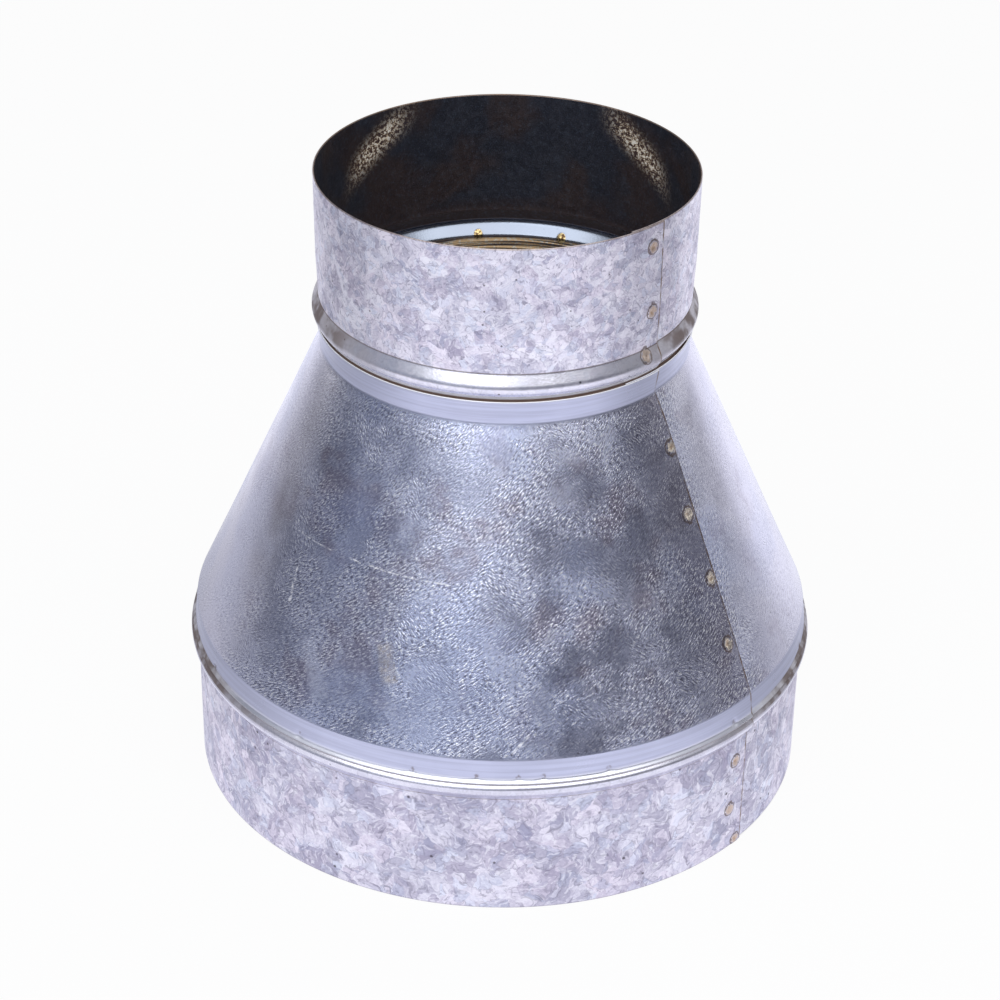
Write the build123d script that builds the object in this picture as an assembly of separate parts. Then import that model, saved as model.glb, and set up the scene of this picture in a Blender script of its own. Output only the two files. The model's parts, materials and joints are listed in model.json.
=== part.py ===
from build123d import *
from math import asin, atan2, cos, degrees, hypot, radians, sin, tan
import os

# Concentric duct reducer in galvanised sheet steel: a large collar, a cone and a small collar.
# Each is one strip, rolled into a ring, lapped over itself and spot-welded along the lap.
# A collar has a bead as its stop, and a swaged tail that stands inside the cone's skirt or neck.
# The origin is at the centre of the bottom rim, +Z runs up the duct, and the laps' free edges are on +X.
# Lengths are in millimetres and angles in degrees.

# Sheet and laps
sheet = 0.5                     # thickness of the three sheets
lap_angle = 13.5                # how far each strip laps over itself
lap_gap = 0.1                   # between the two layers of a lap
collar_dip_angle = 75.0         # where a collar's inner end starts to dip under its outer end

# Large collar, from the bottom rim up
large_diameter = 200.0          # outside
large_collar_length = 41.8      # bottom rim to bead
large_bead_height = 2.3
large_bead_crest_radius = 2.5   # outside
large_bead_lower_run = 4.0      # collar to crest, along the duct
large_bead_upper_run = 3.8      # crest to tail
large_swage = 0.5               # how much the tail is drawn in from the collar
large_tail_length = 5.4

# Small collar, from its tail up
small_diameter = 118.0          # outside, at the top rim
small_tail_length = 2.8
small_swage = 1.0               # how much the tail is drawn in from the rim
small_bead_height = 1.5         # above the rim's diameter
small_bead_crest_radius = 3.0   # outside
small_bead_lower_run = 4.6      # tail to crest, along the duct
small_bead_upper_run = 4.6      # crest to collar
small_draw_in = 0.5             # how much the bead draws the collar in just above it
small_draw_length = 13.0        # the height over which the collar recovers
small_straight_length = 27.5    # the cylindrical part below the top rim

# Cone
cone_rise = 92.7                # skirt bend to neck bend
skirt_opening = 6.6             # the skirt's lean away from the tail
skirt_margin = 1.2              # tail end to skirt bend
lip_angle = 38.0                # the flared lip's lean
lip_seat = 60.0                 # where round the bead's crest the lip ends, up from level
lip_gap = 0.35                  # lip's end to the crest's circle
neck_opening = 9.5              # the neck's lean away from the tail
neck_margin = 4.5               # neck bend to tail end
neck_edge_rise = 0.5            # neck edge above the foot of the small bead
fit_clearance = 0.05            # a tail's end inside the skirt or neck

# The large collar's levels and radii
large_radius = large_diameter / 2
large_tail_radius = large_radius - large_swage
large_crest = large_radius + large_bead_height
large_crest_level = large_collar_length + large_bead_lower_run
large_tail_top = large_crest_level + large_bead_upper_run + large_tail_length

# The cone's levels
skirt_bend_level = large_tail_top + skirt_margin
neck_bend_level = skirt_bend_level + cone_rise

# The small collar's levels and radii
small_radius = small_diameter / 2
small_tail_radius = small_radius - small_swage
small_crest = small_radius + small_bead_height
small_tail_foot = neck_bend_level + neck_margin
small_bead_foot = small_tail_foot + small_tail_length
neck_edge_level = small_bead_foot + neck_edge_rise


def flank(height, run, crest):
    """Length and lean of a bead's straight flank, which runs from its foot to touch the round crest."""
    reach = hypot(height - crest, run)
    lean = atan2(height - crest, run) + asin(crest / reach)
    return (reach ** 2 - crest ** 2) ** 0.5, degrees(lean)


def bead(foot, rise, lower_run, fall, upper_run, crest):
    """Outside of a bead from its foot up: a straight flank, the round crest and the other flank."""
    lower_length, lower_lean = flank(rise, lower_run, crest)
    upper_length, upper_lean = flank(fall, upper_run, crest)
    lower = PolarLine(foot, lower_length, angle=90 - lower_lean)
    top = JernArc(lower @ 1, lower % 1, crest, lower_lean + upper_lean)
    upper = PolarLine(top @ 1, upper_length, direction=top % 1)
    return [lower, top, upper]


def sheet_section(edges, side):
    """Section of a sheet, one thickness to one side of a line drawn from bottom to top."""
    outline = offset(Wire(edges), sheet, kind=Kind.INTERSECTION, side=side, closed=True)
    return Plane.XZ * make_face(outline)


def roll(section, joint_angle, outer_shift, inner_shift):
    """Roll a strip from a joint angle both ways: to its outer end on +X, and on under that end.

    Each way turns about an axis moved by its shift towards the joint, so the two ends part.
    """
    towards = Vector(1, 0, 0).rotate(Axis.Z, joint_angle)
    joint = section.rotate(Axis.Z, joint_angle)
    outer = revolve(joint, Axis(towards * outer_shift, (0, 0, 1)), 360 - joint_angle)
    inner = revolve(joint, Axis(towards * inner_shift, (0, 0, -1)), joint_angle + lap_angle)
    return outer + inner


def roll_collar(section):
    """A collar keeps its outside round, and its inner end dips inward under its outer end."""
    dip = (sheet + lap_gap) / (1 - cos(radians(collar_dip_angle)))
    return roll(section, collar_dip_angle, 0, dip)


def make_large_collar():
    wall = Line((large_radius, 0), (large_radius, large_collar_length))
    stop = bead(wall @ 1, large_bead_height, large_bead_lower_run,
                large_crest - large_tail_radius, large_bead_upper_run, large_bead_crest_radius)
    tail = Line(stop[-1] @ 1, (large_tail_radius, large_tail_top))
    return roll_collar(sheet_section([wall, *stop, tail], Side.LEFT))


def make_small_collar():
    waist_radius = small_radius - small_draw_in
    tail = Line((small_tail_radius, small_tail_foot), (small_tail_radius, small_bead_foot))
    stop = bead(tail @ 1, small_crest - small_tail_radius, small_bead_lower_run,
                small_crest - waist_radius, small_bead_upper_run, small_bead_crest_radius)
    bead_top = stop[-1] @ 1
    waist = Line(bead_top, (small_radius, bead_top.Y + small_draw_length))
    wall = Line(waist @ 1, (small_radius, (waist @ 1).Y + small_straight_length))
    return roll_collar(sheet_section([tail, *stop, waist, wall], Side.LEFT))


def make_cone():
    # The inside line: it clears the tails' ends and the large bead by the named gaps.
    skirt_lean = tan(radians(skirt_opening))
    neck_lean = tan(radians(neck_opening))
    lip_lean = tan(radians(lip_angle))
    skirt_fit = large_tail_radius + fit_clearance
    neck_fit = small_tail_radius + fit_clearance
    seat_radius = large_bead_crest_radius + lip_gap
    lip_end_x = large_crest - large_bead_crest_radius + seat_radius * cos(radians(lip_seat))
    lip_end_y = large_crest_level + seat_radius * sin(radians(lip_seat))
    lip_rise = (lip_end_x - skirt_fit - (large_tail_top - lip_end_y) * skirt_lean) / (lip_lean - skirt_lean)
    lip_end = (lip_end_x, lip_end_y)
    lip_bend = (lip_end_x - lip_rise * lip_lean, lip_end_y + lip_rise)
    skirt_bend = (skirt_fit - skirt_margin * skirt_lean, skirt_bend_level)
    neck_bend = (neck_fit - neck_margin * neck_lean, neck_bend_level)
    neck_edge = (neck_fit + (neck_edge_level - small_tail_foot) * neck_lean, neck_edge_level)
    inside = Polyline(lip_end, lip_bend, skirt_bend, neck_bend, neck_edge)
    section = sheet_section(inside.edges(), Side.RIGHT)
    # The outer end rises over the inner end, so the two layers clear each other on the sloping wall.
    slope = (skirt_bend[0] - neck_bend[0]) / cone_rise
    step = (sheet + lap_gap) * (1 + slope ** 2) ** 0.5
    half_turn = 180
    return roll(section, half_turn, -step / 2, 0)


os.makedirs("parts", exist_ok=True)
nodes = {
    "large_collar": make_large_collar(),
    "cone": make_cone(),
    "small_collar": make_small_collar(),
}
for name, solid in nodes.items():
    export_step(solid, f"parts/{name}.step")
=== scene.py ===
import json
import math

import bpy
import numpy as np
from mathutils import Matrix, Vector


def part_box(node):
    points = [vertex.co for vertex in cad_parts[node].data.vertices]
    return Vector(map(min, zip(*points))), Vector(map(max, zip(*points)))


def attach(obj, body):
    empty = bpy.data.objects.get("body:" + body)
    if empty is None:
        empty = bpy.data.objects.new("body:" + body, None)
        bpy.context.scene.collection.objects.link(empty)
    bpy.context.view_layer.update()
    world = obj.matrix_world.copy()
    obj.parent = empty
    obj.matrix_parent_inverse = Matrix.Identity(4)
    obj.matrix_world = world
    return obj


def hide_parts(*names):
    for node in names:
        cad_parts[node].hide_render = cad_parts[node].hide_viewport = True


# Duct reducer: three rolled, lapped and spot-welded sheets of galvanised steel.
# Lengths are in millimetres and angles in degrees until a mesh, lamp or camera is made.
# Angles round the duct count from the laps' free edges, which are on +X.

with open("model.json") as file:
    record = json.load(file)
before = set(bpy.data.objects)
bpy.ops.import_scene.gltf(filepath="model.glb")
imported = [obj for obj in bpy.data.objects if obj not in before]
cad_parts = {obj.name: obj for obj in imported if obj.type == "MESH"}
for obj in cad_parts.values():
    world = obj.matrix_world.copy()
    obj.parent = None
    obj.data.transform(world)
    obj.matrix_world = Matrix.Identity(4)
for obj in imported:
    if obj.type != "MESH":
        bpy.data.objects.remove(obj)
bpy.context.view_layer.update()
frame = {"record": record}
MM = 0.001

# Sizes from the frame
spigots = {m["name"]: m["dims"] for m in frame["record"]["mounts"]}
large_radius = spigots["large_spigot"]["r_mm"]
large_collar_length = spigots["large_spigot"]["length_mm"]
small_radius = spigots["small_spigot"]["r_mm"]


def foot_of(node):
    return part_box(node)[0].z / MM


def top_of(node):
    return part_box(node)[1].z / MM


# The sheets' other sizes, as in the part
sheet = 0.5
lap_angle = 13.5
lap_gap = 0.1
collar_dip_angle = 75.0
large_bead_height = 2.3
large_bead_crest_radius = 2.5
large_bead_lower_run = 4.0
large_bead_upper_run = 3.8
large_swage = 0.5
small_swage = 1.0
small_tail_length = 2.8
small_bead_height = 1.5
small_bead_crest_radius = 3.0
small_bead_lower_run = 4.6
small_bead_upper_run = 4.6
small_draw_in = 0.5
small_draw_length = 13.0
skirt_opening = 6.6
skirt_margin = 1.2
lip_angle = 38.0
lip_seat = 60.0
lip_gap = 0.35
neck_opening = 9.5
neck_margin = 4.5
fit_clearance = 0.05

# Rounding of the bends, which the part leaves sharp
cone_bend_radius = 1.0
neck_bend_radius = 2.0
large_bead_roots = (0.6, 1.2)
small_bead_roots = (0.8, 0.8)
small_waist_radius = 40.0

# Levels and radii
large_crest = (large_radius + large_bead_height, large_collar_length + large_bead_lower_run)
large_bead_top = large_crest[1] + large_bead_upper_run
large_tail_radius = large_radius - large_swage
small_tail_radius = small_radius - small_swage
small_bead_foot = foot_of("small_collar") + small_tail_length
small_crest = (small_radius + small_bead_height, small_bead_foot + small_bead_lower_run)
small_bead_top = small_crest[1] + small_bead_upper_run
lip_reach = large_bead_crest_radius + lip_gap
lip_end = (large_crest[0] - large_bead_crest_radius + lip_reach * math.cos(math.radians(lip_seat)),
           large_crest[1] + lip_reach * math.sin(math.radians(lip_seat)))
skirt_bend_level = top_of("large_collar") + skirt_margin
neck_bend_level = foot_of("small_collar") - neck_margin

# Mesh density
fine_step = 0.05
fine_columns = 8000
fewest_on_run = 2
fewest_in_bend = 8
plain_row = 3.0
collar_inner_row = 6.0
cone_inner_row = 12.0
marked_row = 0.6
marked_reach = 2.6
bend_row_angle = 9.0
plain_column = 0.5
seam_column = 0.2
seam_reach = 7.5
edge_round = 0.24
sharp_angle = 50.0


# Lines of the sheets

def trace(corners, radii):
    """Fine points, outward normals and bend radii along a line with rounded corners, from the foot up."""
    corners = np.array(corners, float)
    directions = np.diff(corners, axis=0)
    directions /= np.linalg.norm(directions, axis=1)[:, None]
    points, headings, bends = [], [], []
    start = corners[0]
    for i, radius in enumerate([*radii, 0.0]):
        along = directions[i]
        if i == len(radii):
            end = corners[-1]
            turn = 0.0
        else:
            ahead = directions[i + 1]
            turn = math.atan2(along[0] * ahead[1] - along[1] * ahead[0], along @ ahead)
            end = corners[i + 1] - along * radius * math.tan(abs(turn) / 2)
        count = max(int(np.linalg.norm(end - start) / fine_step), fewest_on_run)
        part = np.linspace(0, 1, count, endpoint=False)[:, None]
        points.append(start + (end - start) * part)
        headings.append(np.full(count, math.atan2(along[1], along[0])))
        bends.append(np.full(count, np.inf))
        if turn:
            side = math.copysign(1.0, turn)
            centre = end + radius * side * np.array([-along[1], along[0]])
            count = max(int(abs(turn) * radius / fine_step), fewest_in_bend)
            swept = np.linspace(0, turn, count, endpoint=False)
            heading = math.atan2(along[1], along[0]) + swept
            spoke = np.stack([np.sin(heading), -np.cos(heading)], 1) * side
            points.append(centre + radius * spoke)
            headings.append(heading)
            bends.append(np.full(count, radius))
            start = corners[i + 1] + ahead * radius * math.tan(abs(turn) / 2)
    points.append(corners[-1:])
    headings.append(headings[-1][-1:])
    bends.append(np.array([np.inf]))
    heading = np.concatenate(headings)
    normals = np.stack([np.sin(heading), -np.cos(heading)], 1)
    return np.concatenate(points), normals, np.concatenate(bends)


def spread(at, spacing):
    """Places along a line, closer together where the spacing asked for there is smaller."""
    steps = np.diff(at) * (1 / spacing[1:] + 1 / spacing[:-1]) / 2
    count = np.concatenate([[0.0], np.cumsum(steps)])
    return np.interp(np.linspace(0, count[-1], int(math.ceil(count[-1])) + 1), count, at)


def pick_rows(line, marks, plain=plain_row):
    """Rows of a sheet, with their outward normals and depths, closer in its bends and near marked heights.

    The depth is 0 but for the first and last rows, which lie in the sheet's rounded edges.
    """
    points, normals, bends = line
    along = np.concatenate([[0.0], np.cumsum(np.linalg.norm(np.diff(points, axis=0), axis=1))])
    length = along[-1]
    spacing = np.minimum(plain, bends * math.radians(bend_row_angle))
    for height in marks:
        near = np.abs(points[:, 1] - height) < marked_reach
        spacing[near] = np.minimum(spacing[near], marked_row)
    inner = (along > 2 * edge_round) & (along < length - 2 * edge_round)
    between = spread(along[inner], spacing[inner])
    row = np.concatenate([[0.0, edge_round], between, [length - edge_round, length]])
    pick = [np.interp(row, along, column) for column in (*points.T, *normals.T)]
    depth = np.zeros(len(row))
    depth[[0, -1]] = edge_round
    return np.stack(pick[:2], 1), np.stack(pick[2:], 1), depth[:, None]


def columns():
    """Angles along a rolled strip, from its hidden end under the lap to its free end."""
    at = np.linspace(-lap_angle, 360, fine_columns)
    near = (at < seam_reach) | (at > 360 - lap_angle - seam_reach)
    return spread(at, np.where(near, seam_column, plain_column))


def flank_end(foot, centre, radius, upwards):
    """Point where a straight flank from a bead's foot touches the round crest."""
    reach = np.subtract(centre, foot)
    distance = np.linalg.norm(reach)
    lean = math.atan2(reach[0], abs(reach[1])) + math.asin(radius / distance)
    length = math.sqrt(distance ** 2 - radius ** 2)
    return np.add(foot, (length * math.sin(lean), upwards * length * math.cos(lean)))


def meet(p, p_to, q, q_to):
    """Crossing point of the line from p through p_to and the line from q through q_to."""
    a = np.stack([np.subtract(p_to, p), np.subtract(q, q_to)], 1)
    t = np.linalg.solve(a, np.subtract(q, p))[0]
    return np.add(p, t * np.subtract(p_to, p))


def bead_apex(foot, top, crest, radius):
    """Corner that a bead's two flanks point at, for a round crest of a given radius and outermost point."""
    centre = (crest[0] - radius, crest[1])
    return meet(foot, flank_end(foot, centre, radius, 1), top, flank_end(top, centre, radius, -1))


def large_collar_line():
    foot = (large_radius, large_collar_length)
    top = (large_tail_radius, large_bead_top)
    apex = bead_apex(foot, top, large_crest, large_bead_crest_radius)
    corners = [(large_radius, 0), foot, apex, top, (large_tail_radius, top_of("large_collar"))]
    return trace(corners, [large_bead_roots[0], large_bead_crest_radius, large_bead_roots[1]])


def small_collar_line():
    foot = (small_tail_radius, small_bead_foot)
    top = (small_radius - small_draw_in, small_bead_top)
    apex = bead_apex(foot, top, small_crest, small_bead_crest_radius)
    waist = (small_radius, small_bead_top + small_draw_length)
    corners = [(small_tail_radius, foot_of("small_collar")), foot, apex, top, waist,
               (small_radius, top_of("small_collar"))]
    radii = [small_bead_roots[0], small_bead_crest_radius, small_bead_roots[1], small_waist_radius]
    return trace(corners, radii)


def cone_line():
    """Inside of the cone: it clears the tails' ends and the large bead by the named gaps."""
    openings = (skirt_opening, neck_opening, lip_angle)
    skirt_lean, neck_lean, lip_lean = (math.tan(math.radians(angle)) for angle in openings)
    tail_top = top_of("large_collar")
    neck_edge_level = top_of("cone")
    skirt_fit = large_tail_radius + fit_clearance
    neck_fit = small_tail_radius + fit_clearance
    lip_x, lip_y = lip_end
    lip_rise = (lip_x - skirt_fit - (tail_top - lip_y) * skirt_lean) / (lip_lean - skirt_lean)
    corners = [
        (lip_x, lip_y),
        (lip_x - lip_rise * lip_lean, lip_y + lip_rise),
        (skirt_fit - skirt_margin * skirt_lean, skirt_bend_level),
        (neck_fit - neck_margin * neck_lean, neck_bend_level),
        (neck_fit + (neck_edge_level - foot_of("small_collar")) * neck_lean, neck_edge_level),
    ]
    return trace(corners, [cone_bend_radius + sheet, cone_bend_radius, neck_bend_radius + sheet])


def lifted(line, distance):
    """A line moved outwards."""
    points, normals, bends = line
    return points + normals * distance, normals, bends


# Marks in the sheets: angle round the duct, height
large_welds = [(-3.1, 33.4), (-3.9, 15.3), (-1.7, 1.6)]
cone_welds = [(-1.4, 132.7), (-2.4, 113.0), (-1.4, 93.2), (-2.2, 73.6)]
small_welds = [(-4.7, 198.9), (-3.8, 177.5), (-6.1, 163.6)]
weld_radius = 2.1
weld_depth = 0.1
weld_swell = 0.2
skirt_dent_level = 50.8
skirt_dent_angles = [-89.1, -66.6, -55.3, -48.1, -43.9, -32.1, -5.1, 24, 61, 96, 133, 171, 208, 244]
skirt_dent_radius = 1.3
skirt_dent_depth = 0.25
skirt_dent_heat = 0.075
nugget_level = 156.4
nugget_start = 137.8
nugget_pitch = 27.7
nugget_radius = 1.3
nugget_height = 0.4

# A weld's raised ring, its pit and its heat, as shares of its radius
weld_ring_at = 0.75
weld_ring_width = 0.3
weld_pit_width = 0.35
weld_reach = 1.3

# Larger forms: the small rim's ovality, and the cone's swell under the neck and ridge along the lap
oval_angle = 38.4
oval_height = 0.5
oval_foot = 172.0
oval_run = 34.0
swell_height = 0.3
swell_rise = 4.0
swell_reach = 22.0
ridge_height = 0.6
ridge_angle = 6.0
ridge_foot_run = 15.0
ridge_top_run = 10.0

# Unevenness of the sheets, which on the cone fades towards the skirt and the neck
large_unevenness = 0.06
small_unevenness = 0.05
cone_unevenness = 0.2
uneven_foot = 60.0
uneven_foot_run = 20.0
uneven_top = 144.0
uneven_top_run = 15.0


def distance_to(theta, rows, mark):
    """Distance on the sheet from each point of the grid to a mark."""
    angle, height = mark
    aside = (theta[None, :] - angle + 180) % 360 - 180
    return np.hypot(np.radians(aside) * rows[:, :1], rows[:, 1:] - height)


def weld_fields(theta, rows, welds):
    """How far a set of welds stands out, and a mask that rises from 0 round each weld to 1 at its middle."""
    stand, heat = np.zeros((2, len(rows), len(theta)))
    for weld in welds:
        far = distance_to(theta, rows, weld) / weld_radius
        ring = np.exp(-((far - weld_ring_at) / weld_ring_width) ** 2)
        pit = np.exp(-(far / weld_pit_width) ** 2)
        stand += weld_swell * ring - weld_depth * pit
        heat = np.maximum(heat, 1 - far / weld_reach)
    return stand, np.maximum(heat, 0)


def bumps(theta, rows, marks, radius):
    """Round bumps of unit height."""
    return sum(np.exp(-(distance_to(theta, rows, mark) / radius) ** 4) for mark in marks)


def ramp(distance, run):
    """A rise from 0 to 1 over a run."""
    return np.clip(distance / run, 0, 1)


def bulge(theta, rows):
    """Where the cone's wall leaves its even slope: a swell just under the neck and a ridge along the lap."""
    height = rows[:, 1:]
    down = np.maximum(neck_bend_level - height, 0)
    swell = swell_height * (1 - np.exp(-down / swell_rise)) * np.exp(-(down / swell_reach) ** 2)
    aside = np.abs((theta[None, :] + 180) % 360 - 180)
    clear = ramp(height - skirt_bend_level, ridge_foot_run) * ramp(down, ridge_top_run)
    return swell + ridge_height * np.exp(-aside / ridge_angle) * clear


def waves(theta, rows, seed, count, turns, lengths):
    """A gentle unevenness of the sheet, between about -1 and 1, as a sum of a few sloping waves."""
    draw = np.random.default_rng(seed)
    total = np.zeros((len(rows), len(theta)))
    for _ in range(count):
        round_count = draw.integers(turns[0], turns[1] + 1)
        up = draw.choice([-1, 1]) * 2 * math.pi / draw.uniform(*lengths)
        phase = draw.uniform(0, 2 * math.pi)
        total += np.sin(np.radians(theta)[None, :] * round_count + rows[:, 1:] * up + phase)
    return total / count


# Rolled sheets

def put(name, data):
    """A new object in the scene."""
    item = bpy.data.objects.new(name, data)
    bpy.context.scene.collection.objects.link(item)
    return item


def roll(theta, radius, joint_angle, outer_shift, inner_shift):
    """Place points of a strip that is rolled both ways from a joint, about axes moved towards the joint."""
    shift = np.where(theta >= joint_angle, outer_shift, inner_shift)[None, :]
    way = np.radians(theta)[None, :]
    joint = math.radians(joint_angle)
    x = shift * math.cos(joint) + (radius - shift) * np.cos(way)
    y = shift * math.sin(joint) + (radius - shift) * np.sin(way)
    return x, y


def collar_roll(theta, radius):
    """A collar's inner end dips inward under its outer end."""
    dip = (sheet + lap_gap) / (1 - math.cos(math.radians(collar_dip_angle)))
    return roll(theta, radius, collar_dip_angle, 0.0, dip)


def cone_roll(theta, radius):
    """The cone's outer end rises over its inner end."""
    slope = (large_tail_radius - small_tail_radius) / (foot_of("small_collar") - top_of("large_collar"))
    step = (sheet + lap_gap) * math.hypot(1, slope)
    return roll(theta, radius, 180.0, -step / 2, 0.0)


def sheet_mesh(name, flat_radius, outer_rows, inner_rows, relief, welds, place):
    """One closed rolled sheet. Its grid runs up the outside and down the inside, column by column.

    relief gives how far each point of a set of rows stands out, and welds the mask of heat there. Both are
    told whether the rows are the outside's (0) or the inside's (1).
    """
    theta = columns()
    sides = []
    for (points, normals, depth), inside in ((outer_rows, 0.0), (inner_rows, 1.0)):
        stand = relief(theta, points, inside) - (sheet - depth if inside else depth)
        x, y = place(theta, points[:, :1] + normals[:, :1] * stand)
        z = points[:, 1:] + normals[:, 1:] * stand
        way = np.radians(theta)[None, :]
        flat = np.broadcast_arrays(way * flat_radius, points[:, 1:], inside * large_radius)
        sides.append({
            "place": np.stack([x, y, z], 2),
            "flat": np.stack(flat, 2),
            "inside": np.full(x.shape, inside),
            "weld": welds(theta, points, inside),
            "edge": (2 * math.pi - way) * points[:, :1],
        })
    grid = {key: np.concatenate([sides[0][key], sides[1][key][::-1]]).swapaxes(0, 1) for key in sides[0]}
    wide, tall = grid["place"].shape[:2]
    index = np.arange(wide * tall).reshape(wide, tall)
    ahead = np.roll(index, -1, axis=1)
    quads = np.stack([index[:-1], index[1:], ahead[1:], ahead[:-1]], -1).reshape(-1, 4)
    faces = [*quads.tolist(), index[0].tolist(), index[-1][::-1].tolist()]
    mesh = bpy.data.meshes.new(name)
    mesh.from_pydata((grid.pop("place").reshape(-1, 3) * MM).tolist(), [], faces)
    for key, values in grid.items():
        vector = values.ndim == 3
        layer = mesh.attributes.new(key, "FLOAT_VECTOR" if vector else "FLOAT", "POINT")
        layer.data.foreach_set("vector" if vector else "value", values.astype(np.float32).ravel())
    mesh.shade_smooth()
    mesh.set_sharp_from_angle(angle=math.radians(sharp_angle))
    mesh.validate()
    return put(name, mesh)


def make_large_collar():
    line = large_collar_line()

    def relief(theta, rows, inside):
        uneven = waves(theta, rows, seed=11, count=7, turns=(3, 9), lengths=(60, 160))
        return weld_fields(theta, rows, large_welds)[0] + large_unevenness * uneven - large_unevenness

    def welds(theta, rows, inside):
        return weld_fields(theta, rows, large_welds)[1]

    outer = pick_rows(line, [height for _, height in large_welds])
    inner = pick_rows(line, [], plain=collar_inner_row)
    return sheet_mesh("large_collar_sheet", large_radius, outer, inner, relief, welds, collar_roll)


# The radius at which the cone's pattern is laid flat
cone_flat_radius = 80.0


def make_cone():
    line = lifted(cone_line(), sheet)
    dents = [(angle, skirt_dent_level) for angle in skirt_dent_angles]

    def relief(theta, rows, inside):
        height = rows[:, 1:]
        free = ramp(height - uneven_foot, uneven_foot_run) * ramp(uneven_top - height, uneven_top_run)
        uneven = waves(theta, rows, seed=5, count=9, turns=(2, 7), lengths=(50, 200))
        dented = skirt_dent_depth * bumps(theta, rows, dents, skirt_dent_radius)
        stand = weld_fields(theta, rows, cone_welds)[0]
        return stand + cone_unevenness * free * uneven - dented + bulge(theta, rows)

    def welds(theta, rows, inside):
        heat = weld_fields(theta, rows, cone_welds)[1]
        return np.maximum(heat, skirt_dent_heat * bumps(theta, rows, dents, skirt_dent_radius))

    outer = pick_rows(line, [skirt_dent_level, *[height for _, height in cone_welds]])
    inner = pick_rows(line, [], plain=cone_inner_row)
    return sheet_mesh("cone_sheet", cone_flat_radius, outer, inner, relief, welds, cone_roll)


def make_small_collar():
    line = small_collar_line()
    nuggets = [(angle, nugget_level) for angle in np.arange(nugget_start, nugget_start + 360, nugget_pitch)]

    def relief(theta, rows, inside):
        uneven = waves(theta, rows, seed=23, count=7, turns=(3, 8), lengths=(50, 140))
        raised = inside * nugget_height * bumps(theta, rows, nuggets, nugget_radius)
        oval = np.cos(2 * np.radians(theta - oval_angle))[None, :] * ramp(rows[:, 1:] - oval_foot, oval_run)
        stand = weld_fields(theta, rows, small_welds)[0]
        return stand + small_unevenness * uneven + oval_height * oval - small_unevenness - raised

    def welds(theta, rows, inside):
        heat = weld_fields(theta, rows, small_welds)[1]
        return heat + inside * bumps(theta, rows, nuggets, nugget_radius)

    outer = pick_rows(line, [height for _, height in small_welds])
    inner = pick_rows(line, [nugget_level], plain=collar_inner_row)
    return sheet_mesh("small_collar_sheet", small_radius, outer, inner, relief, welds, collar_roll)


# Node helpers

def add(tree, kind, inputs=None, **settings):
    node = tree.nodes.new(kind)
    for name, value in settings.items():
        setattr(node, name, value)
    for name, value in (inputs or {}).items():
        if isinstance(value, bpy.types.NodeSocket):
            tree.links.new(value, node.inputs[name])
        else:
            node.inputs[name].default_value = value
    return node


def calc(tree, operation, a, b=0.0, clamp=False):
    return add(tree, "ShaderNodeMath", {0: a, 1: b}, operation=operation, use_clamp=clamp).outputs[0]


def times(tree, *values):
    product = values[0]
    for value in values[1:]:
        product = calc(tree, "MULTIPLY", product, value)
    return product


def largest(tree, *values):
    most = values[0]
    for value in values[1:]:
        most = calc(tree, "MAXIMUM", most, value)
    return most


def without(tree, mask):
    """1 where a mask is 0, and 0 where it is 1."""
    return calc(tree, "SUBTRACT", 1.0, mask)


def vector_calc(tree, operation, a, b):
    return add(tree, "ShaderNodeVectorMath", {0: a, 1: b}, operation=operation).outputs[0]


def dot(tree, a, b):
    return add(tree, "ShaderNodeVectorMath", {0: a, 1: b}, operation="DOT_PRODUCT").outputs["Value"]


def scaled(tree, vector, factor):
    return add(tree, "ShaderNodeVectorMath", {0: vector, "Scale": factor}, operation="SCALE").outputs[0]


def turned(tree, vector, angle):
    inputs = {"Vector": vector, "Angle": angle}
    return add(tree, "ShaderNodeVectorRotate", inputs, rotation_type="Z_AXIS").outputs[0]


def remap(tree, value, low, high, to_low=0.0, to_high=1.0):
    inputs = {"Value": value, "From Min": low, "From Max": high, "To Min": to_low, "To Max": to_high}
    return add(tree, "ShaderNodeMapRange", inputs, interpolation_type="SMOOTHSTEP").outputs["Result"]


def band(tree, value, low, high, soft):
    """1 between two values, falling to 0 over a soft edge outside them."""
    return times(tree, remap(tree, value, low - soft, low), remap(tree, value, high + soft, high))


def mix(tree, factor, a, b, mode="MIX"):
    node = add(tree, "ShaderNodeMix", {0: factor, 6: a, 7: b}, data_type="RGBA", blend_type=mode)
    return node.outputs[2]


def noise(tree, vector, scale, detail=2.0, roughness=0.5):
    inputs = {"Vector": vector, "Scale": scale, "Detail": detail, "Roughness": roughness}
    return add(tree, "ShaderNodeTexNoise", inputs).outputs["Fac"]


def cells(tree, vector, scale):
    """Distance from a cell's middle and three random values, for a pattern of cells."""
    node = add(tree, "ShaderNodeTexVoronoi", {"Vector": vector, "Scale": scale})
    shades = add(tree, "ShaderNodeSeparateColor", {0: node.outputs["Color"]})
    return node.outputs["Distance"], *shades.outputs


def cell_edges(tree, vector, scale):
    inputs = {"Vector": vector, "Scale": scale}
    return add(tree, "ShaderNodeTexVoronoi", inputs, feature="DISTANCE_TO_EDGE").outputs["Distance"]


def attribute(tree, name, output="Fac"):
    return add(tree, "ShaderNodeAttribute", attribute_name=name).outputs[output]


def empty_tree(owner):
    """The node tree of a material or world, cleared."""
    owner.use_nodes = True
    owner.node_tree.nodes.clear()
    return owner.node_tree


def new_material(name):
    material = bpy.data.materials.new(name)
    tree = empty_tree(material)
    shader = add(tree, "ShaderNodeBsdfPrincipled")
    add(tree, "ShaderNodeOutputMaterial", {"Surface": shader.outputs[0]})
    return material, tree, shader


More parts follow.
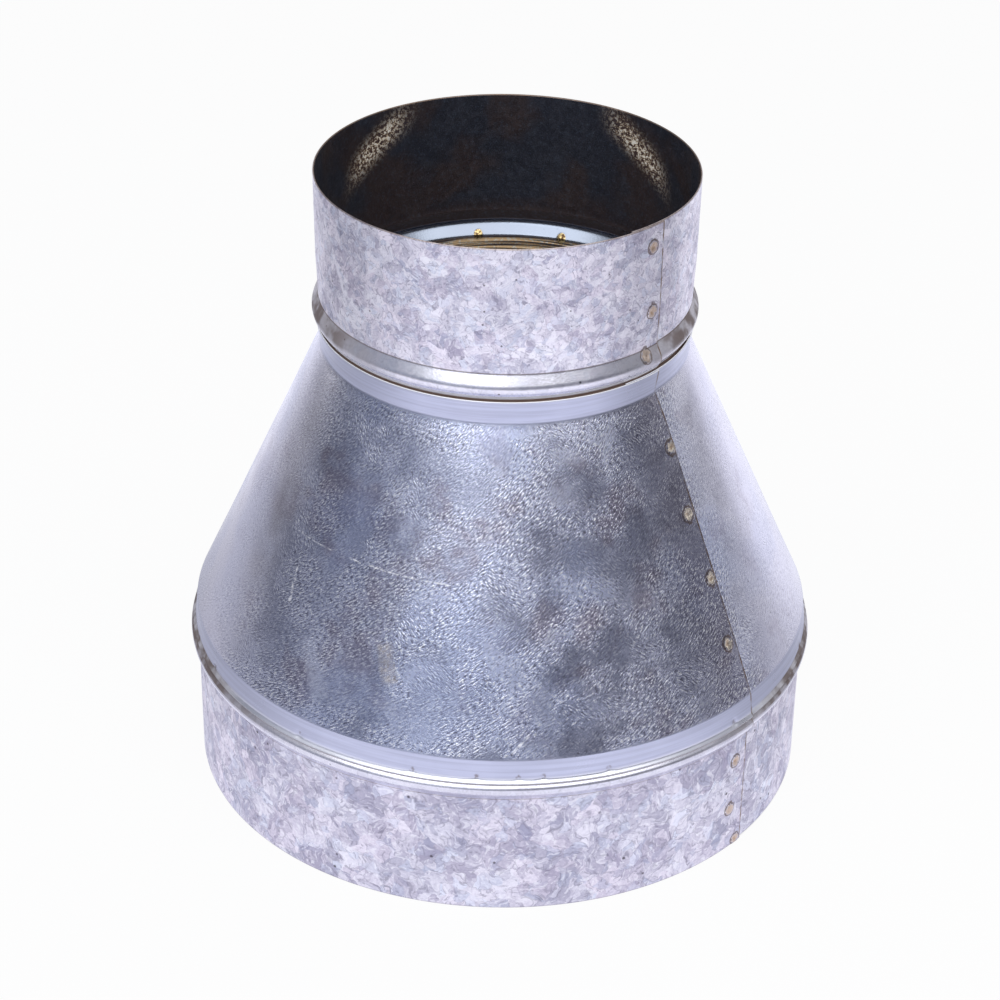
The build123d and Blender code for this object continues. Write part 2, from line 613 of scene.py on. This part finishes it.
def connect(tree, shader, colour, dull, rough, relief, strength, depth):
    """Give a shader its colour, how much of it is no bare metal, its roughness and its fine relief."""
    bump = add(tree, "ShaderNodeBump", {"Height": relief, "Strength": strength, "Distance": depth * MM})
    tree.links.new(colour, shader.inputs["Base Color"])
    tree.links.new(without(tree, dull), shader.inputs["Metallic"])
    tree.links.new(rough, shader.inputs["Roughness"])
    tree.links.new(bump.outputs[0], shader.inputs["Normal"])


def millimetres(tree):
    """The surface's own place in the part, in millimetres."""
    return scaled(tree, add(tree, "ShaderNodeTexCoord").outputs["Object"], 1 / MM)


def height_of(tree, place):
    return add(tree, "ShaderNodeSeparateXYZ", {0: place}).outputs["Z"]


def warped(tree, place, scale, reach):
    """A place moved about by noise of a given scale."""
    inputs = {"Vector": place, "Scale": scale, "Detail": 1.0}
    wander = add(tree, "ShaderNodeTexNoise", inputs).outputs["Color"]
    moved = scaled(tree, vector_calc(tree, "SUBTRACT", wander, (0.5, 0.5, 0.5)), reach)
    return vector_calc(tree, "ADD", place, moved)


# Camera, at the photograph's viewing angle

view_side = 38.4
camera_out = 786.35
camera_up = 550.80
camera_pitch = 30.462
camera_yaw = -0.050
camera_roll = -0.960
focal_length = 2802.05
frame_width = 1000.0
sensor = 36.0


def from_front(side, out, up):
    """A point so far out from the duct's axis and so far up, at an angle right of the camera's side."""
    way = math.radians(view_side + side)
    return Vector((out * math.sin(way), -out * math.cos(way), up)) * MM


def bearing(tree, vector):
    """Angle of a place or direction to the right of the camera's side, between -180 and 180."""
    ahead, aside = (dot(tree, vector, from_front(side, 1 / MM, 0)) for side in (0, 90))
    return calc(tree, "DEGREES", calc(tree, "ARCTAN2", aside, ahead))


def around(tree, place):
    """How far a place is turned away from the camera's side, without its sign."""
    return calc(tree, "ABSOLUTE", bearing(tree, place))


def make_camera():
    data = bpy.data.cameras.new("camera")
    data.sensor_width = sensor
    data.lens = focal_length / frame_width * sensor
    camera = put("camera", data)
    turn = Matrix.Rotation(math.radians(view_side - camera_yaw), 4, "Z")
    tilt = Matrix.Rotation(math.radians(90 - camera_pitch), 4, "X")
    lean = Matrix.Rotation(math.radians(-camera_roll), 4, "Z")
    camera.matrix_world = Matrix.Translation(from_front(0, camera_out, camera_up)) @ turn @ tilt @ lean
    bpy.context.scene.camera = camera


# Finishes. Colours are red, green, blue and opacity.

white = (1, 1, 1, 1)
weld_outline = (0.14, 0.09, 0.06, 1)
weld_middle = (0.45, 0.28, 0.15, 1)
collar_button = (0.62, 0.49, 0.39, 1)
cone_button = (0.95, 0.84, 0.68, 1)
edge_rust = (0.22, 0.14, 0.09, 1)
# Soot, with painted shade, on the sides of the beads and the lip
soot_and_shade_brown = (0.10, 0.06, 0.045, 1)
soot_and_shade_fade = 0.3
soot_and_shade_thins = 100.0
soot_and_shade_ends = 120.0


def weld_tint(tree, place, colour, button):
    """Weld buttons of a given colour, with a ragged brown outline and a browner middle."""
    ragged = times(tree, attribute(tree, "weld"), remap(tree, noise(tree, place, 0.9), 0.3, 0.7, 0.65, 1.35))
    colour = mix(tree, times(tree, band(tree, ragged, 0.12, 0.24, 0.08), 0.75), colour, weld_outline)
    colour = mix(tree, times(tree, remap(tree, ragged, 0.3, 0.42), 0.85), colour, button)
    return mix(tree, times(tree, remap(tree, ragged, 0.68, 0.9), 0.55), colour, weld_middle)


def browned_edge(tree, place, colour):
    """A rusty line along the free edge of the lap."""
    broken = remap(tree, noise(tree, place, 0.25, detail=3.0), 0.4, 0.6, 0.25, 1.0)
    line = remap(tree, attribute(tree, "edge"), 0.8, 0.2)
    return mix(tree, times(tree, line, broken), colour, edge_rust)


def soot_and_side_shade(tree, place, level, colour, low, high, start=30.0, full=65.0, fade=soot_and_shade_fade):
    """Dull brown soot in a ring, with painted shade on the duct's sides: the colour, and how much of it is
    soot and shade.

    It sets in at one angle from the camera's side and is full at another, and fades below its low level.
    """
    patchy = remap(tree, noise(tree, place, 0.18), 0.35, 0.6, 0.5, 1.0)
    # Set by the angle from the camera, so the darkening on the sides is painted shade as well as soot.
    turn = around(tree, place)
    side = times(tree, remap(tree, turn, start, full), remap(tree, turn, soot_and_shade_ends, soot_and_shade_thins))
    ring = times(tree, remap(tree, level, low - fade, low), remap(tree, level, high + soot_and_shade_fade, high))
    soot_and_shade = times(tree, ring, side, patchy)
    return mix(tree, times(tree, soot_and_shade, 0.9), colour, soot_and_shade_brown), times(tree, soot_and_shade, 0.85)


# Painted shade and painted golden highlights inside the small end
inside_shade_foot = 140.0
inside_shade_full = 148.0
inside_shade_black = (0.045, 0.05, 0.07, 1)
inside_shade_brown = (0.075, 0.052, 0.05, 1)
inside_shade_thread = (0.13, 0.17, 0.23, 1)
glint_halo_shade = (0.22, 0.13, 0.10, 1)
groove_shade_grey = (0.29, 0.33, 0.40, 1)
deep_gold = (1.0, 0.70, 0.38, 1)
light_gold = (1.0, 0.97, 0.86, 1)
spatter_brown = (0.10, 0.06, 0.03, 1)
spatter_gold = (0.75, 0.58, 0.28, 1)
streak_lean = 0.58


def inside_shade_and_glints(tree, place, level, colour):
    """Painted shade on the dark, browned inside of the small end: its colour, and how much of it is dull.

    The bead's groove is painted a paler grey shade. Painted golden highlights streak both sides of the far
    wall as the camera sees it, and there are golden lines and weld spatter at its foot.
    """
    # Painted shade deep inside, where only shade falls.
    depth = times(tree, attribute(tree, "inside"), remap(tree, level, inside_shade_foot, inside_shade_full))
    groove = band(tree, level, small_bead_foot + 0.2, small_crest[1] + 0.2, 0.5)
    colour = mix(tree, times(tree, depth, groove, 0.95), colour, groove_shade_grey)
    inside_shade = times(tree, depth, without(tree, groove), 0.97)
    threads = noise(tree, place, 0.9, detail=3.0, roughness=0.8)
    browned = remap(tree, noise(tree, place, 0.05), 0.42, 0.62)
    browned = largest(tree, browned, remap(tree, level, small_bead_top + 6.0, small_bead_top))
    dark = mix(tree, browned, inside_shade_black, inside_shade_brown)
    dark = mix(tree, times(tree, remap(tree, threads, 0.5, 0.66), 0.3), dark, inside_shade_thread)
    # Painted highlights: golden streaks placed by their angle from the camera, dull so that they show lit.
    from_back = calc(tree, "SUBTRACT", 180.0, around(tree, place))
    drop = calc(tree, "ADD", level, times(tree, from_back, streak_lean))
    streak = times(tree, band(tree, from_back, 42.0, 50.0, 14.0), band(tree, drop, 221.0, 222.0, 8.0))
    dark = mix(tree, times(tree, streak, 0.7), dark, glint_halo_shade)
    glint = times(tree, streak, remap(tree, threads, 0.47, 0.56), inside_shade)
    rings = noise(tree, vector_calc(tree, "MULTIPLY", place, (0.02, 0.02, 1.3)), 1.0)
    at_foot = remap(tree, level, small_bead_foot, small_bead_foot - 1.5)
    lines = times(tree, remap(tree, rings, 0.46, 0.56), at_foot)
    gold = largest(tree, glint, times(tree, lines, inside_shade))
    golden = mix(tree, remap(tree, threads, 0.5, 0.6), deep_gold, light_gold)
    colour = mix(tree, gold, mix(tree, inside_shade, colour, dark), golden)
    nuggets = times(tree, attribute(tree, "weld"), depth)
    spatter = mix(tree, remap(tree, threads, 0.42, 0.58), spatter_brown, spatter_gold)
    colour = mix(tree, remap(tree, nuggets, 0.1, 0.4), colour, spatter)
    dull = times(tree, inside_shade, remap(tree, level, small_bead_top + 2.0, small_bead_top - 1.0, 0.25, 0.6))
    return colour, largest(tree, dull, gold)


# Heights over which the large collar's spangle gives way to the finer and lighter one of the small collar
between_collars = (90.0, 110.0)
spangle_dark = (0.44, 0.43, 0.54, 1)
spangle_light = (0.94, 0.93, 1.0, 1)
pink_filter = (1.0, 0.92, 0.95, 1)
blue_filter = (0.84, 0.93, 1.0, 1)
bead_zinc = (0.80, 0.80, 0.88, 1)
stroke_light = (0.96, 0.96, 1.0, 1)
stroke_dark = (0.22, 0.21, 0.28, 1)
flake_outline = (0.2, 0.19, 0.26, 1)
pit_black = (0.08, 0.07, 0.08, 1)
root_shade_brown = (0.18, 0.13, 0.11, 1)
top_rim_brown = (0.34, 0.24, 0.17, 1)
foot_contact_shadow = (0.34, 0.31, 0.38, 1)
under_bead_painted_light = (0.85, 0.84, 0.90, 1)
gap_rust_and_shade_brown = (0.40, 0.26, 0.19, 1)


def spangle(tree, level, plain_bead):
    """Zinc grains with their own tone and feathered strokes, plainer on the beads.

    The result is the colour, a fine speckle, and a random value for each flake.
    """
    marked = without(tree, plain_bead)
    fineness = remap(tree, level, *between_collars, 0.5, 0.8)
    flat = scaled(tree, attribute(tree, "flat", "Vector"), fineness)
    loose = warped(tree, warped(tree, flat, 0.25, 4.0), 1.1, 1.0)
    _, grain_a, grain_b, grain_c = cells(tree, loose, 0.24)
    _, flake_a, flake_b, flake_c = cells(tree, loose, 0.6)
    cloud = noise(tree, flat, 0.07, detail=3.0)
    speckle = noise(tree, flat, 1.8, detail=2.0, roughness=0.6)
    tone = calc(tree, "ADD", times(tree, grain_a, 0.28), times(tree, flake_a, 0.26))
    tone = calc(tree, "ADD", tone, times(tree, calc(tree, "ADD", cloud, speckle), 0.45), clamp=True)
    tone = calc(tree, "SUBTRACT", tone, remap(tree, level, *between_collars, 0.09, 0.0))
    colour = mix(tree, remap(tree, tone, 0.3, 1.05), spangle_dark, spangle_light)
    pinkish = mix(tree, 1.0, colour, pink_filter, mode="MULTIPLY")
    colour = mix(tree, times(tree, grain_b, 0.6), colour, pinkish)
    bluish = mix(tree, 1.0, colour, blue_filter, mode="MULTIPLY")
    colour = mix(tree, remap(tree, flake_b, 0.6, 0.95, 0.0, 0.5), colour, bluish)
    colour = mix(tree, plain_bead, colour, bead_zinc)
    combed = turned(tree, loose, times(tree, grain_c, math.tau))
    stroke = noise(tree, vector_calc(tree, "MULTIPLY", combed, (0.5, 1.9, 1.0)), 1.0)
    colour = mix(tree, times(tree, remap(tree, stroke, 0.56, 0.66), marked, 0.5), colour, stroke_light)
    colour = mix(tree, times(tree, remap(tree, stroke, 0.42, 0.32), marked, 0.48), colour, stroke_dark)
    broken = remap(tree, noise(tree, flat, 0.45), 0.46, 0.58)
    outline = times(tree, remap(tree, cell_edges(tree, loose, 0.6), 0.08, 0.03), broken, marked, 0.32)
    colour = mix(tree, outline, colour, flake_outline)
    pit_away, pit_chance, _, _ = cells(tree, flat, 0.3)
    pit = times(tree, remap(tree, pit_away, 0.1, 0.05), remap(tree, pit_chance, 0.5, 0.6))
    colour = mix(tree, times(tree, pit, 0.8), colour, pit_black)
    return colour, speckle, flake_c


def spangled_sheet():
    """The collars' matt spangle, with welds, soot, a darker top rim, and painted shade and light: shade in
    the beads' roots, on their sides and at the foot, shade with golden highlights inside, and a pale band
    over shade under the small bead.
    """
    material, tree, shader = new_material("spangled_sheet")
    place = millimetres(tree)
    level = height_of(tree, place)
    large_bead = band(tree, level, large_collar_length + 0.5, large_bead_top, 0.5)
    small_bead = band(tree, level, small_bead_foot, small_bead_top - 0.3, 0.5)
    beads = calc(tree, "ADD", large_bead, small_bead)
    plain_bead = times(tree, beads, 0.7)
    colour, speckle, flake = spangle(tree, level, plain_bead)
    # Painted shade, brownish, in the creases at the roots of the beads.
    small_root_shade = band(tree, level, small_bead_top - 0.1, small_bead_top + 0.15, 0.15)
    large_root_shade = band(tree, level, large_collar_length - 0.15, large_collar_length + 0.1, 0.15)
    root_shade = calc(tree, "ADD", times(tree, small_root_shade, 0.6), times(tree, large_root_shade, 0.4))
    colour = mix(tree, root_shade, colour, root_shade_brown)
    colour, small_soot_and_shade = soot_and_side_shade(tree, place, level, colour, small_crest[1] + 0.8, small_bead_top, fade=2.4)
    colour, large_soot_and_shade = soot_and_side_shade(tree, place, level, colour, large_crest[1] + 0.8, large_bead_top)
    soot_and_shade = calc(tree, "ADD", small_soot_and_shade, large_soot_and_shade)
    colour = browned_edge(tree, place, weld_tint(tree, place, colour, collar_button))
    colour, dull = inside_shade_and_glints(tree, place, level, colour)
    top_rim = remap(tree, level, top_of("small_collar") - 0.4, top_of("small_collar") - 0.25)
    colour = mix(tree, times(tree, top_rim, 0.6), colour, top_rim_brown)
    # Painted contact shadow: the collar darkens to grey in its last half millimetre at the foot.
    colour = mix(tree, remap(tree, level, 0.6, 0.2, 0.0, 0.6), colour, foot_contact_shadow)
    # Under the small bead, outside: a pale dull band is painted light on the bead's lower flank, and lower
    # down the gap above the neck's edge is painted brown shade with rusty edges.
    outside = without(tree, attribute(tree, "inside"))
    under = times(tree, band(tree, level, small_bead_foot - 4.0, small_bead_foot + 1.6, 1.0), outside)
    gap_rust_and_shade = remap(tree, level, small_bead_foot + 1.2, small_bead_foot + 0.7)
    shaded = mix(tree, gap_rust_and_shade, under_bead_painted_light, gap_rust_and_shade_brown)
    colour = mix(tree, times(tree, under, 0.9), colour, shaded)
    dull = largest(tree, dull, soot_and_shade, times(tree, under, 0.85))
    matt = remap(tree, flake, 0.0, 1.0, 0.38, 0.52)
    rough = calc(tree, "SUBTRACT", matt, times(tree, beads, calc(tree, "SUBTRACT", matt, 0.26)))
    rough = calc(tree, "ADD", rough, times(tree, soot_and_shade, 0.4))
    strength = times(tree, without(tree, plain_bead), 0.2)
    connect(tree, shader, colour, dull, rough, speckle, strength, depth=0.3)
    return material


# Marks of use on the cone's wall: angle and height of both ends, and width
pale_marks = [
    ((273.4, 104.4), (296.7, 103.9), 0.3),
    ((311.2, 59.1), (313.1, 62.3), 0.5),
    ((255.9, 104.1), (266.6, 104.2), 0.25),
    ((258.9, 94.5), (259.9, 85.0), 0.7),
]
smear = ((285.0, 83.5), (287.0, 75.0), 3.0)
drip = ((267.9, 77.5), (273.5, 64.5), 3.0)
mark_fade = 2.0
smear_tan = (0.72, 0.65, 0.58, 1)
drip_blue = (0.80, 0.83, 0.96, 1)


def straight_mark(tree, flat, start, end, width):
    """A straight mark between two places on the cone, fading at its ends."""
    ends = ((math.radians(angle) * cone_flat_radius, height, 0) for angle, height in (start, end))
    first, last = (Vector(place) for place in ends)
    way = (last - first).normalized()
    offset = vector_calc(tree, "SUBTRACT", flat, first)
    across = calc(tree, "ABSOLUTE", dot(tree, offset, (-way.y, way.x, 0)))
    run = band(tree, dot(tree, offset, way), 0, (last - first).length, mark_fade)
    return times(tree, remap(tree, across, width, width / 2), run)


def handled(tree, flat, colour):
    """Marks of use on the cone's wall: the colour, and how much rougher it is in the pale marks."""
    pale = largest(tree, *[straight_mark(tree, flat, *mark) for mark in pale_marks])
    uneven = remap(tree, noise(tree, flat, 0.5, detail=3.0), 0.42, 0.62)
    pale = times(tree, pale, uneven, 0.35)
    colour = mix(tree, times(tree, pale, 2.0), colour, white)
    patchy = remap(tree, uneven, 0.0, 1.0, 0.3, 0.55)
    for mark, tint in ((smear, smear_tan), (drip, drip_blue)):
        colour = mix(tree, times(tree, straight_mark(tree, flat, *mark), patchy), colour, tint)
    return colour, pale


dash_slants = (-37.0, 40.0)
cloud_dark = (0.40, 0.42, 0.55, 1)
cloud_light = (0.74, 0.77, 0.94, 1)
cloud_blue = (0.46, 0.53, 0.76, 1)
side_sheen_zinc = (0.72, 0.70, 0.78, 1)
stain_brown = (0.31, 0.25, 0.31, 1)
lap_shade = (0.28, 0.24, 0.29, 1)
fleck_glint = (0.98, 0.99, 1.0, 1)
fleck_shade = (0.13, 0.13, 0.19, 1)
speck_dark = (0.16, 0.14, 0.19, 1)
drawn_grey = (0.36, 0.37, 0.46, 1)
lip_zinc = (0.92, 0.93, 1.0, 1)
lip_edge_shadow_brown = (0.16, 0.12, 0.11, 1)


def slanted_dashes(tree, place, flat):
    """Fine dashes that slant one way or the other from patch to patch."""
    rising = remap(tree, noise(tree, place, 0.07, detail=2.0), 0.35, 0.46)
    dashes = times(tree, noise(tree, flat, 2.8), 0.5)
    for slant, share in zip(dash_slants, (rising, without(tree, rising))):
        stretched = vector_calc(tree, "MULTIPLY", turned(tree, flat, math.radians(slant)), (0.33, 1.0, 1.0))
        dashes = calc(tree, "ADD", dashes, times(tree, noise(tree, stretched, 2.3), share))
    return dashes


def smooth_sheet():
    """The cone's smooth clouded zinc: a dashed and stained wall with painted glints and a painted sheen on
    its sides, a plain neck, skirt and lip with soot and painted side shade and a painted shadow at the lip's
    edge, painted shade inside, and a painted highlight on the neck's edge.
    """
    material, tree, shader = new_material("smooth_sheet")
    place = millimetres(tree)
    level = height_of(tree, place)
    flat = attribute(tree, "flat", "Vector")
    wall = band(tree, level, skirt_bend_level + 1.0, neck_bend_level - 1.0, 1.0)
    off_wall = without(tree, wall)
    # Painted sheen: the cone's sides, turned about 66 to 88 degrees from the camera, are paler plain zinc
    # with fewer marks, for the white sweep they mirror.
    side_sheen = band(tree, around(tree, place), 66.0, 88.0, 16.0)
    marked = times(tree, wall, remap(tree, side_sheen, 0.0, 1.0, 1.0, 0.4))
    cloud = noise(tree, warped(tree, place, 0.05, 16.0), 0.055, detail=3.0, roughness=0.65)
    clouded = calc(tree, "ADD", times(tree, calc(tree, "SUBTRACT", cloud, 0.5), marked, 1.4), 0.5, clamp=True)
    colour = mix(tree, clouded, cloud_dark, cloud_light)
    colour = mix(tree, times(tree, side_sheen, wall, 0.6), colour, side_sheen_zinc)
    stain = remap(tree, noise(tree, place, 0.035, detail=3.0, roughness=0.7), 0.52, 0.66)
    colour = mix(tree, times(tree, stain, marked, 0.55), colour, stain_brown)
    blue = remap(tree, noise(tree, place, 0.028), 0.46, 0.6)
    colour = mix(tree, times(tree, blue, marked, 0.45), colour, cloud_blue)
    # Painted shade beside the lap's free edge, with a brown-grey heat tint.
    beside_lap = remap(tree, attribute(tree, "edge"), 24.0, 4.0)
    colour = mix(tree, times(tree, beside_lap, wall, 0.45), colour, lap_shade)
    dashes = slanted_dashes(tree, place, flat)
    worked = remap(tree, noise(tree, place, 0.06, detail=2.0), 0.38, 0.56, 0.5, 1.0)
    flecked = times(tree, worked, marked)
    # Painted glints and painted shade: light and dark flecks on the dashes stand for tiny facets that catch
    # the lamp or mirror the dark room.
    colour = mix(tree, times(tree, remap(tree, dashes, 0.8, 0.9), flecked, 0.95), colour, fleck_glint)
    colour = mix(tree, times(tree, remap(tree, dashes, 0.73, 0.61), flecked, 0.85), colour, fleck_shade)
    speck_away, speck_chance, _, _ = cells(tree, flat, 0.32)
    speck = times(tree, remap(tree, speck_away, 0.13, 0.06), remap(tree, speck_chance, 0.45, 0.6), wall)
    colour = mix(tree, times(tree, speck, 0.6), colour, speck_dark)
    brushed = noise(tree, vector_calc(tree, "MULTIPLY", flat, (0.02, 0.9, 1.0)), 1.0, roughness=0.6)
    colour = mix(tree, times(tree, remap(tree, brushed, 0.62, 0.36), off_wall, 0.35), colour, drawn_grey)
    lip = remap(tree, level, skirt_dent_level, lip_end[1] + 1.2)
    colour = mix(tree, times(tree, lip, 0.9), colour, lip_zinc)
    colour, pale = handled(tree, flat, colour)
    # Painted shadow, brown, along the lip's edge.
    lip_edge_shadow = remap(tree, level, lip_end[1] + 0.6, lip_end[1] + 0.4)
    colour = mix(tree, times(tree, lip_edge_shadow, 0.7), colour, lip_edge_shadow_brown)
    colour, soot_and_shade = soot_and_side_shade(tree, place, level, colour, lip_end[1], skirt_dent_level - 0.6, 50.0, 66.0)
    colour = browned_edge(tree, place, weld_tint(tree, place, colour, cone_button))
    # The painted inside shade ends short of the neck's edge.
    to_neck_edge = remap(tree, level, foot_of("small_collar"), top_of("cone"), 1000.0, 0.0)
    colour, dull = inside_shade_and_glints(tree, place, calc(tree, "MINIMUM", level, to_neck_edge), colour)
    # Painted highlight: the neck's top edge is white and dull.
    neck_edge_highlight = times(tree, remap(tree, level, top_of("cone") - 0.4, top_of("cone") - 0.2), 0.8)
    colour = mix(tree, neck_edge_highlight, colour, white)
    dull = largest(tree, dull, soot_and_shade, neck_edge_highlight)
    plain = times(tree, calc(tree, "ADD", off_wall, times(tree, soot_and_shade, 4.0)), 0.1)
    rough = calc(tree, "ADD", remap(tree, cloud, 0.35, 0.65, 0.17, 0.28), calc(tree, "ADD", pale, plain))
    strength = calc(tree, "ADD", times(tree, flecked, 0.9), 0.03)
    connect(tree, shader, colour, dull, rough, dashes, strength, depth=0.15)
    return material


# Stage and light

floor_radius = 4000.0
floor_sides = 96
floor_tint = (0.98, 0.98, 1.08, 1)
floor_grey = (0.8, 0.8, 0.8, 1)


def make_floor():
    """A floor that is white to the camera with a faint shadow and a painted shadow inside the duct's ring,
    and dims sideways and far off in the metal.
    """
    mesh = bpy.data.meshes.new("floor")
    turns = np.linspace(0, 2 * math.pi, floor_sides, endpoint=False)
    ring = np.stack([np.cos(turns), np.sin(turns), 0 * turns], 1) * floor_radius * MM
    mesh.from_pydata(ring.tolist(), [], [list(range(floor_sides))])
    floor = put("floor", mesh)
    material = bpy.data.materials.new("floor")
    tree = empty_tree(material)
    path = add(tree, "ShaderNodeLightPath")
    by_camera = path.outputs["Is Camera Ray"]
    seen = calc(tree, "ADD", by_camera, path.outputs["Is Glossy Ray"])
    seen = calc(tree, "ADD", seen, path.outputs["Is Transmission Ray"], clamp=True)
    place = millimetres(tree)
    away = add(tree, "ShaderNodeVectorMath", {0: place}, operation="LENGTH").outputs["Value"]
    # Inside the duct's ring the floor has no glow, only its plain grey: a painted shadow there.
    outside_painted_shadow = remap(tree, away, large_radius - 4, large_radius)
    way = bearing(tree, place)
    right = times(tree, remap(tree, way, 30.0, 95.0), remap(tree, way, 140.0, 95.0))
    left = times(tree, remap(tree, way, -30.0, -100.0), remap(tree, way, -165.0, -115.0))
    sideways = times(tree, calc(tree, "ADD", right, left), remap(tree, away, 105.0, 180.0))
    in_front = remap(tree, calc(tree, "ABSOLUTE", way), 150.0, 110.0)
    far = times(tree, remap(tree, away, 520.0, 880.0), in_front)
    mirrored = times(tree, remap(tree, sideways, 0.0, 1.0, 1.0, 0.54), remap(tree, far, 0.0, 1.0, 1.0, 0.35))
    mirrored = times(tree, mirrored, remap(tree, away, 160.0, 320.0, 1.03, 1.2))
    bright = add(tree, "ShaderNodeMix", {0: by_camera, 2: mirrored, 3: 1.0}).outputs[0]
    colour = mix(tree, by_camera, floor_tint, white)
    plain = add(tree, "ShaderNodeBsdfDiffuse", {"Color": floor_grey})
    glow = add(tree, "ShaderNodeEmission", {"Color": colour, "Strength": times(tree, outside_painted_shadow, bright)})
    shadowed = remap(tree, outside_painted_shadow, 0.0, 1.0, 1.0, 0.06)
    lit = add(tree, "ShaderNodeMixShader", {0: shadowed, 1: glow.outputs[0], 2: plain.outputs[0]})
    mixed = add(tree, "ShaderNodeMixShader", {0: seen, 1: plain.outputs[0], 2: lit.outputs[0]})
    add(tree, "ShaderNodeOutputMaterial", {"Surface": mixed.outputs[0]})
    material.cycles.emission_sampling = "NONE"
    mesh.materials.append(material)


def make_lamp(name, side, height, distance, size, strength):
    """A soft oval lamp that points at the part, seen from it so far to the right and so high up.

    Its strength is its brightness as seen in a mirror.
    """
    middle = top_of("small_collar") / 2
    rise = math.radians(height)
    place = from_front(side, distance * math.cos(rise), middle + distance * math.sin(rise))
    data = bpy.data.lights.new(name, "AREA")
    data.shape = "ELLIPSE"
    data.size, data.size_y = (length * MM for length in size)
    data.energy = strength * math.pi * data.size * data.size_y * math.pi / 4
    lamp = put(name, data)
    lamp.location = place
    lamp.rotation_euler = (Vector((0, 0, middle * MM)) - place).to_track_quat("-Z", "Y").to_euler()
    lamp.visible_camera = False


room_left = (0.29, 0.315, 0.39, 1)
room_far_left = (0.17, 0.18, 0.22, 1)
room_right = (0.23, 0.235, 0.275, 1)
room_far_right = (0.14, 0.14, 0.16, 1)
column_grey = (0.37, 0.40, 0.48, 1)
neck_light = (1.3, 1.33, 1.4, 1)
side_grey = (0.58, 0.59, 0.63, 1)
sweep_white = (0.95, 0.95, 0.97, 1)
sweep_grey = (0.5, 0.51, 0.55, 1)


def make_world():
    """White behind, and a dim room in front that is darkest to the sides; the camera itself sees white."""
    world = bpy.data.worlds.new("studio")
    bpy.context.scene.world = world
    tree = empty_tree(world)
    direction = add(tree, "ShaderNodeTexCoord").outputs["Generated"]
    way = bearing(tree, direction)
    up = height_of(tree, direction)
    higher = remap(tree, up, 0.15, 0.45)
    on_right = remap(tree, calc(tree, "SUBTRACT", way, times(tree, higher, 14.0)), 91.0, 102.0)
    on_left = remap(tree, calc(tree, "ADD", way, times(tree, higher, 50.0)), -102.0, -122.0)
    left = mix(tree, remap(tree, way, -72.0, -104.0), room_left, room_far_left)
    right = mix(tree, remap(tree, way, 25.0, 90.0), room_right, room_far_right)
    room = mix(tree, remap(tree, way, -30.0, 25.0), left, right)
    column = times(tree, band(tree, way, -28.0, -12.0, 10.0), band(tree, up, -0.1, 0.28, 0.12))
    room = mix(tree, column, room, column_grey)
    under_neck = times(tree, band(tree, way, -36.0, -6.0, 14.0), band(tree, up, 0.36, 0.5, 0.1))
    room = mix(tree, under_neck, room, neck_light)
    to_side = band(tree, calc(tree, "ABSOLUTE", way), 50.0, 92.0, 15.0)
    room = mix(tree, times(tree, to_side, band(tree, up, 0.42, 0.68, 0.12)), room, side_grey)
    sweep = mix(tree, band(tree, up, 0.22, 0.55, 0.12), sweep_white, sweep_grey)
    studio = mix(tree, largest(tree, on_right, on_left), room, sweep)
    path = add(tree, "ShaderNodeLightPath")
    colour = mix(tree, path.outputs["Is Camera Ray"], studio, white)
    background = add(tree, "ShaderNodeBackground", {"Color": colour, "Strength": 1.0})
    add(tree, "ShaderNodeOutputWorld", {"Surface": background.outputs[0]})


# Pieces

finishes = {"spangled_sheet": spangled_sheet(), "smooth_sheet": smooth_sheet()}
for node, make, slot in (("large_collar", make_large_collar, "spangled_sheet"),
                         ("cone", make_cone, "smooth_sheet"),
                         ("small_collar", make_small_collar, "spangled_sheet")):
    piece = make()
    piece.data.materials.append(finishes[slot])
    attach(piece, "root")
    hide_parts(node)

make_camera()
make_floor()
make_lamp("softbox", side=0.0, height=55.0, distance=1200.0, size=(2500.0, 1240.0), strength=1.75)
make_world()
bpy.context.scene.view_settings.view_transform = "Standard"
